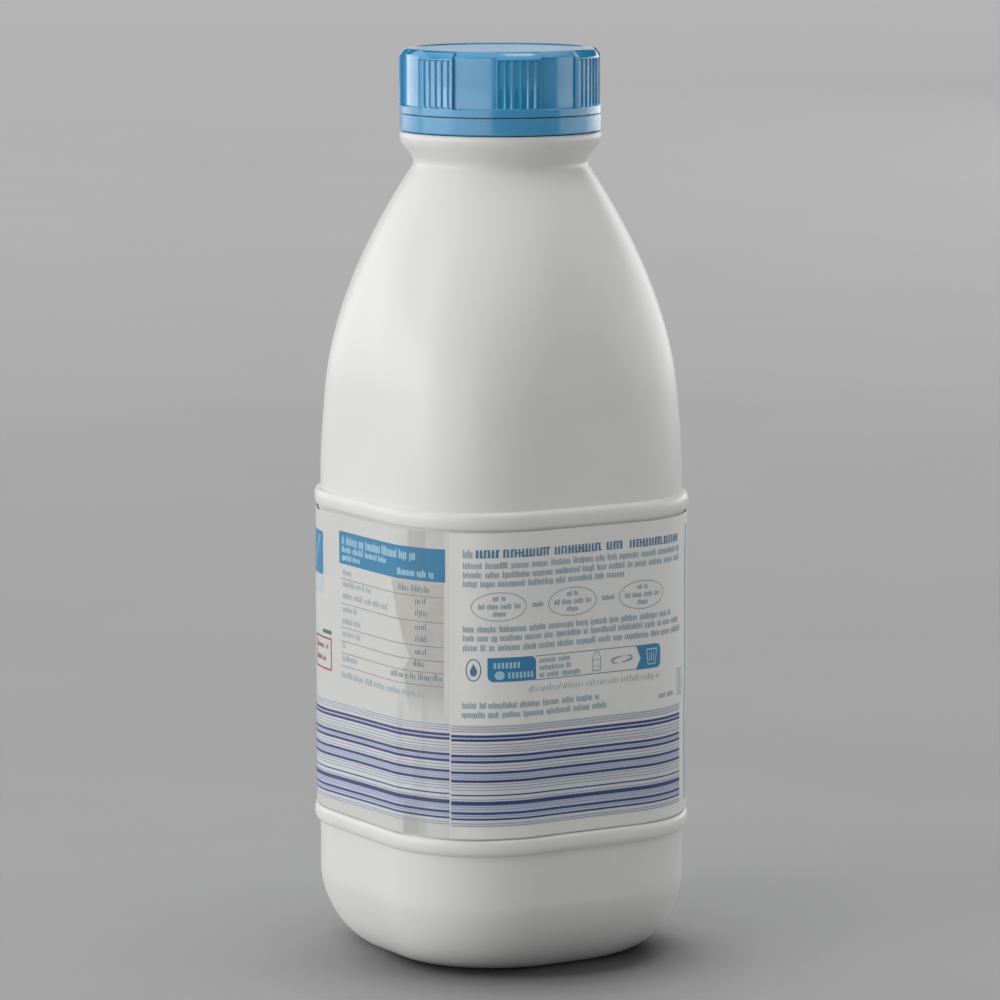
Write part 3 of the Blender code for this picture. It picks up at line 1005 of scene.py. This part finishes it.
def print_stripes():
    """The bands of blue lines along the foot of the label."""
    navy = ink("navy ink", *NAVY)
    violet = ink("faded navy ink", (0.06, 0.066, 0.21), (0.14, 0.16, 0.32))
    tint = ink("pale blue ink", (0.51, 0.575, 0.74), (0.6, 0.645, 0.73))
    wash = ink("faint blue ink", (0.68, 0.71, 0.745), (0.71, 0.73, 0.745))
    slate = ink("grey ink", (0.31, 0.34, 0.44), (0.46, 0.49, 0.55))
    right = (FLAP_EDGE + 0.35, RIGHT_END, 0)
    left = (LEFT_END, BACK_START, 0.3)
    bold = (
        ((61.3, 60.3, 56.4, 54.9, 52.25, 50.1), 0.64), ((44.6,), 1), ((42.1,), 0.6),
        ((40.6,), 0.45), ((46.6,), 0.34),
    )
    for name, finish, (start, end, up) in (
        ("ink_navy_right", navy, right),
        ("ink_navy_left", violet, left),
    ):
        dark = Plate(name, finish, 0.06)
        for heights, thick in bold:
            dark.lines(start, end, [height + up for height in heights], thick)
        dark.print(sinks=True)
    full = ((60, 61.5), (55, 56.5), (50.2, 52.2), (42.2, 44.6), (40.7, 41.9))
    faint = ((62.2, 64.1), (57.2, 59.7), (52.7, 54.5), (45.3, 49.7), (38.7, 40.2))
    fine = (
        63.7, 63.1, 62.5, 59.25, 58.5, 57.8, 57.3, 55.65, 53.9, 53.1, 51.5, 50.9, 49.3, 48.6, 47.9,
        45.5, 43.7, 43.1, 41.4, 39.5, 38.95,
    )
    for name, finish, lift, fields in (
        ("ink_pale_blue", tint, 0.04, full),
        ("ink_faint_blue", wash, 0.03, faint),
        ("ink_grey", slate, 0.06, [(height - 0.1, height + 0.1) for height in fine]),
    ):
        pale = Plate(name, finish, lift)
        for start, end, up in (right, left):
            for low, high in fields:
                pale.bar(start, end, low + up, high + up)
        pale.print(sinks=True)


def right_rows():
    """The rows of small marks on the right panel: left, right, base, tall, seed."""
    rows = [
        (2.4, 66.4, 102.9, 1.55, 11), (2.4, 66.4, 100.6, 1.55, 12), (2.4, 46.4, 98.4, 1.55, 13),
        (2.4, 62, 87.2, 1.55, 21), (2.4, 66.8, 85, 1.55, 22), (2.4, 66.9, 82.6, 1.55, 23),
    ]
    for arc in OVAL_ARCS:
        rows += [(arc - 1.6, arc + 1.6, 94.9, 1.2, 31), (arc - 5.2, arc + 5.4, 92.9, 1.3, 32)]
        rows += [(arc - 1.6, arc + 1.6, 91.1, 1.2, 33)]
    return rows + [
        (20, 23, 93, 1.2, 34), (40, 43.4, 93, 1.2, 35), (21.9, 31.6, 78.9, 1.3, 41),
        (21.9, 32, 77.1, 1.3, 42), (21.9, 33.6, 75.3, 1.3, 43), (2.2, 39.2, 68.3, 1.5, 52),
        (2.1, 41.4, 66, 1.5, 53), (57.4, 63.6, 66.7, 1.3, 54),
    ]


def left_rows():
    """The rows of small marks on the left panel: the table's names and figures."""
    rows = []
    left = GIRTH - 43.3
    for number, (base, wide, start, end) in enumerate((
        (96.5, 6, -16, -4.6), (93.55, 14.3, -10.5, -7), (90.6, 22.3, -10.5, -7),
        (87.15, 6.8, -10.5, -7), (84.15, 9.8, -10.5, -7), (80.95, 8.8, -10.5, -7),
        (77.9, 2.3, -11.2, -6.7), (74.7, 7.3, -19.5, -2.9),
    )):
        rows.append((left, left + wide, base, 1.5, 61 + number))
        rows.append((GIRTH + start, GIRTH + end, base - 0.1, 1.6, 71 + number))
    return rows + [(GIRTH - 44, GIRTH - 8, 70.4, 1.6, 81)]


def print_bold():
    """The blue blocks, the bold marks at the top of the right panel and the drop in its ring."""
    blocks = Plate("ink_sky_blue", ink("sky blue ink", *SKY), 0.04)
    blocks.bar(GIRTH - 45, GIRTH - 2.2, 99.2, 107.4)
    blocks.block(GIRTH - 64, GIRTH - 53.9, 95, 106, 0.8)
    blocks.block(8.3, 20.9, 74.8, 80.8, 1.6, (1, 0, 0, 1))
    blocks.form([
        (49.9, 80.7), (51.3, 77.5), (49.9, 74.6), (57, 74.6), (57.8, 75.4), (57.8, 79.4),
        (57.3, 80.4), (56.2, 80.7),
    ])
    blocks.lines(20.8, 50, (80.65, 74.75), 0.18)
    blocks.print()
    titles = Plate("ink_teal", ink("teal ink", (0.06, 0.2, 0.33), (0.14, 0.3, 0.42)), 0.05)
    for left, right, base, tall, seed in HEADING_ROWS[1:]:
        arc = left
        rng = random.Random(seed)
        while arc < right - 0.4:
            titles.bar(arc, arc + 0.52 * rng.uniform(0.8, 1.15), base, base + tall)
            if rng.random() < 0.6:
                level = base + tall * rng.choice((0, 0.42, 0.83))
                titles.bar(arc + 0.4, arc + 0.86, level, level + 0.34)
            arc += 0.98
    titles.hoop(4.9, 77.8, 1.9, 2.8, 0.25)
    titles.form([(4.9, 79.4), (4, 77.6), (4.2, 76.6), (4.9, 76.2), (5.6, 76.6), (5.8, 77.6)])
    titles.print()


def print_marks():
    """The soft tone under the small marks, and the right panel's marks, ovals and signs."""
    soft = Plate("ink_mist", ink("slate ink, thin", (0.565, 0.645, 0.68), (0.62, 0.67, 0.69)), 0.03)
    soft.haze(HEADING_ROWS + right_rows() + left_rows())
    left, right = GIRTH - 64, GIRTH - 54.2
    soft.form([(left, 90.2), (right, 90.2), (right, 94.8), (left, 94.8)])
    for level in range(15):
        base = 95.4 + 0.66 * level
        soft.bar(GIRTH - 52.9, GIRTH - 51.5, base, base + 0.35)
    soft.print()
    marks = Plate("ink_slate", ink("slate ink", (0.31, 0.39, 0.44), (0.46, 0.53, 0.57)), 0.05)
    marks.strokes(HEADING_ROWS[:1] + right_rows())
    for start in (65.6, 67.4):
        marks.frame(start, start + 1.2, 66.2, 73, 0.16)
    marks.strokes([(18.8, 57.4, 71.9, 1.7, 51)], 0.75, 0.2, 16)
    for arc in OVAL_ARCS:
        marks.hoop(arc, 93.4, 7, 3.6, 0.2)
    for arc in (37.2, 39.5):
        marks.bar(arc, arc + 0.2, 75.5, 79)
    marks.bar(37.2, 39.7, 75.4, 75.6)
    marks.lines(37.2, 39.7, (76.6, 78.2), 0.14)
    marks.form([(37.2, 79), (37.4, 79), (38, 79.7), (38, 80.1), (37.8, 80.1), (37.8, 79.7)])
    marks.form([(39.7, 79), (39.1, 79.7), (39.1, 80.1), (38.9, 80.1), (38.9, 79.7), (39.5, 79)])
    marks.lines(37.8, 39.1, (80.1,), 0.2)
    marks.hoop(45.8, 77.7, 3.2, 0.85, 0.2)
    marks.turn_last(45.8, 77.7, 14)
    marks.print()


def print_table():
    """The ruled table: its figures, its names and its rules."""
    table = Plate("ink_table", ink("dark slate ink", (0.2, 0.24, 0.27), (0.36, 0.4, 0.42)), 0.05)
    table.strokes([row for row in left_rows() if row[0] > GIRTH - 25])
    table.print()
    light = ink("light slate ink", (0.37, 0.44, 0.48), (0.5, 0.55, 0.57))
    names = Plate("ink_table_names", light, 0.05)
    names.strokes([row for row in left_rows() if row[0] < GIRTH - 25])
    names.print()
    rules = Plate("ink_rules", ink("rule ink", (0.34, 0.33, 0.33), (0.48, 0.47, 0.46)), 0.05)
    rules.lines(GIRTH - 44.3, GIRTH - 2.5, (95.4, 89.15, 83.1, 79.6, 76.6, 73.3), 0.2)
    rules.print()


def print_light():
    """The light marks on the blue, the upright lines, and the red and green signs at the left."""
    rows = [
        (GIRTH - 43.6, GIRTH - 10.6, 104.2, 2.3, 91), (GIRTH - 43.6, GIRTH - 21.5, 102.2, 1.5, 92),
        (GIRTH - 43.6, GIRTH - 34.5, 100.3, 1.4, 93), (GIRTH - 16.4, GIRTH - 4.8, 100.2, 1.7, 94),
    ]
    half = ink("blue show-through", (0.15, 0.4, 0.6), (0.2, 0.45, 0.62))
    veil = Plate("ink_half_blue", half, 0.05)
    veil.haze(rows)
    tick = ((62, 96), (60.5, 96), (55.2, 105), (57.5, 105))
    veil.form([(GIRTH - back, height) for back, height in tick])
    veil.print()
    show = ink("white show-through", (0.42, 0.66, 0.78), (0.34, 0.58, 0.72))
    light = Plate("ink_white", show, 0.07)
    light.strokes(rows, 0.66, 0.38)
    for start, end, base in ((9.8, 16.4, 78.1), (13.4, 19.8, 75.6)):
        arc = start
        while arc < end:
            light.bar(arc, arc + 0.62, base, base + 1.5)
            arc += 1
    light.disc(11.3, 76.4, 1.25, 1.1)
    for top, foot in (((53.1, 79.3), (53.6, 75.6)), ((56.4, 79.3), (55.9, 75.6))):
        light.stroke(top, foot, 0.3)
    light.lines(52.9, 56.6, (79.4,), 0.4)
    for arc in (71.5, 212.3):
        light.bar(arc, arc + 1.8, 38.6, 108.6)
    light.lines(53.6, 55.9, (75.7,), 0.3)
    for arc in (54.1, 54.75, 55.4):
        light.bar(arc - 0.12, arc + 0.12, 76.4, 78.7)
    light.print()
    warm = Plate("ink_red", ink("muted red ink", (0.46, 0.095, 0.12), (0.55, 0.25, 0.25)), 0.05)
    warm.frame(GIRTH - 60, GIRTH - 49, 71, 79.4, 0.5)
    left = GIRTH - 58.6
    warm.strokes([(left, left + 8, 76.4, 1.4, 95), (left, left + 6.6, 73.2, 1.4, 96)])
    warm.print()
    leaf = Plate("ink_green", ink("muted green ink", (0.085, 0.2, 0.11), (0.2, 0.32, 0.2)), 0.06)
    leaf.block(GIRTH - 54, GIRTH - 49, 80.3, 81.3, 0.4)
    leaf.print()


def wave(base):
    """A wavy line across the hidden front, as places from its right to its left."""
    return [(arc, base + 3.4 * math.sin((arc - 76) * 0.072)) for arc in range(209, 75, -3)]


def drop(middle, low, scale, steps=40):
    """The outline of a drop."""
    ring = []
    for step in range(steps):
        turn = 2 * math.pi * step / steps
        wide = 6.2 * math.sin(turn) * math.sin(0.5 * turn) ** 1.6
        ring.append((middle + scale * wide, low + scale * (9.5 + 9.5 * math.cos(turn))))
    return ring


def print_front():
    """The front, which the photograph doesn't show: plain fields, drops in an oval, a glass."""
    sky = ink("front blue ink", *SKY)
    navy = ink("front navy ink", *NAVY)
    tint = ink("front pale blue ink", (0.45, 0.58, 0.7), (0.56, 0.63, 0.69))
    bare = ink("bare paper", (0.7, 0.7, 0.68), (0.66, 0.66, 0.64))
    fields = Plate("ink_front_blue", sky, 0.04)
    fields.form([(76, 39), (209.6, 39)] + wave(58.5))
    fields.disc(FRONT, 86.5, 25, 15.5, 96)
    fields.frame(91, 105, 75, 96.5, 0.5)
    fields.hoop(187, 86, 7.6, 7.6, 0.6)
    fields.print()
    lines = Plate("ink_front_navy", navy, 0.06)
    lines.hoop(FRONT, 86.5, 27.2, 17.7, 0.7, 120)
    under = wave(55.6)[::-1]
    over = [(arc, height + 0.8) for arc, height in under]
    for first, second, third, fourth in zip(under, under[1:], over[1:], over):
        lines.form([first, second, third, fourth])
    lines.print()
    pale = Plate("ink_front_pale", tint, 0.03)
    pale.frame(78, 207.6, 64.5, 107.4, 0.35)
    pale.haze([(84, 112, 68.5, 1.5, 202), (172, 202, 68.5, 1.5, 203)])
    pale.print()
    drops = Plate("ink_front_bare", bare, 0.07)
    drops.form(drop(FRONT, 77, 1))
    for aside in (-13, 13):
        drops.form(drop(FRONT + aside, 79.5, 0.5))
    drops.print()
    glass = Plate("ink_front_glass", sky, 0.08)
    for top, foot in (((94, 93), (95.6, 78)), ((102, 93), (100.4, 78))):
        glass.stroke(top, foot, 0.5)
    glass.lines(95.6, 100.4, (78,), 0.5)
    glass.form([(94.9, 88.5), (95.9, 78.8), (100.1, 78.8), (101.1, 88.5)])
    glass.disc(187, 86, 5.6, 5.6)
    glass.print()


def make_floor():
    """A wide, plain floor, painted a little darker round the bottle as painted shadow and lighter
    far away as painted light.
    """
    deselect_all()
    bpy.ops.mesh.primitive_circle_add(vertices=128, radius=FLOOR_RADIUS, fill_type="NGON")
    floor = bpy.context.active_object
    floor.name = "studio_floor"
    finish = Finish("studio floor")
    place = finish.coordinates()
    grain = finish.noise(place, 7, 3)
    middle = finish.node("ShaderNodeMapping", {}, {"Vector": place, "Location": FLOOR_SHIFT})
    # Painted shadow close round the bottle, and painted light that makes the floor lighter far away
    stops = [(reach / FLOOR_REACH, grey(tone)) for reach, tone in FLOOR_PAINTED_SHADE_AND_LIGHT]
    tone = finish.ramp(finish.reach(middle) / FLOOR_REACH, stops)
    # Painted contact shadow close round the foot
    turned = (0, 0, math.radians(CAMERA_TURN))
    spot = {"Location": FOOT_MIDDLE, "Rotation": turned, "Scale": FOOT_STRETCH}
    foot = finish.node("ShaderNodeMapping", {"vector_type": "TEXTURE"}, {"Vector": place, **spot})
    stops = [(reach / FOOT_REACH, grey(share)) for reach, share in FOOT_SHADES]
    shade = finish.ramp(finish.reach(foot) / FOOT_REACH, stops)
    tone = finish.blend(1, tone, shade, "MULTIPLY")
    tone = finish.blend(finish.between(grain, 0.3, 0.7) * 0.02, tone, grey(1))
    floor.data.materials.append(finish.set(Base_Color=tone, Roughness=0.75))
    floor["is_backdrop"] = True


def softbox(name, turn, rise, distance, wide, tall, power):
    """A rectangular studio light, placed by its turn from the camera and its rise."""
    lamp = bpy.data.lights.new(name, "AREA")
    lamp.shape = "RECTANGLE"
    lamp.size = wide
    lamp.size_y = tall
    lamp.energy = power
    stand = put_in(name, lamp)
    azimuth = math.radians(CAMERA_TURN + turn)
    lift = math.radians(rise)
    away = Vector((
        math.sin(azimuth) * math.cos(lift), -math.cos(azimuth) * math.cos(lift), math.sin(lift)
    ))
    stand.location = Vector(LIGHT_AIM) + away * distance
    stand.visible_camera = False
    stand.rotation_euler = away.to_track_quat("Z", "Y").to_euler()
    stand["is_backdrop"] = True


def light_studio():
    """Soft boxes round the bottle, most of them on its left, under a sky bright overhead."""
    for name, turn, rise, distance, wide, tall, power in (
        ("front_left", -32.5, 22, 3, 2.49, 2.4, 6.2),
        ("front_left_low", -32.5, 8, 3, 2.49, 1.05, 13.7),
        ("left", -65, 22, 3, 1.2, 2.4, 15.3),
        ("left_low", -77.5, 8, 3, 2.49, 1.05, 19.7),
        ("back_left", -122.5, 20, 3, 2.49, 2.4, 13.9),
        ("back_left_low", -128, 8, 3, 2.49, 1.05, 6.3),
        ("right", 92.5, 20, 3, 2.49, 2.4, 8.9),
        ("right_low", 92.5, 8, 3, 2.49, 1.05, 7.2),
        ("back_right", 137.5, 8, 3, 2.49, 1.05, 16.2),
        ("back", 180, 8, 12, 8, 3.4, 48),
        ("top", 103, 80, 2, 0.6, 0.6, 3.1),
    ):
        softbox(name, turn, rise, distance, wide, tall, power)
    sky = Finish("studio", "worlds", "Background")
    rise = sky.axis(sky.node("ShaderNodeTexCoord", output="Generated"), 2)
    stops = [(height, grey(tone)) for height, tone in ((0, 0), (0.55, 0), (0.85, 1.04))]
    scene = bpy.context.scene
    scene.world = sky.set(Color=sky.ramp(rise, stops))
    scene.view_settings.view_transform = "Standard"
    scene.view_settings.look = "None"


def set_camera():
    """The photograph's view."""
    lens = bpy.data.cameras.new("camera")
    lens.lens = CAMERA_LENS
    lens.sensor_width = 36.0
    lens.clip_end = 100.0
    stand = put_in("camera", lens)
    stand.location = CAMERA_PLACE
    stand.rotation_euler = (math.radians(90 - CAMERA_DIP), 0, math.radians(CAMERA_TURN))
    lens.shift_x = -0.0005
    bpy.context.scene.camera = stand


def main():
    """Builds the bottle, its print and the studio."""
    white = white_plastic()
    blue = blue_plastic()
    make_body(white)
    make_cap(blue)
    make_band(blue)
    make_label(label_paper())
    print_stripes()
    print_bold()
    print_marks()
    print_table()
    print_light()
    print_front()
    make_floor()
    light_studio()
    set_camera()


main()
visual_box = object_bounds()
boxes = {"cad": cad_box, "visual": visual_box}
{name: [list(corner) for corner in box] for name, box in boxes.items()}
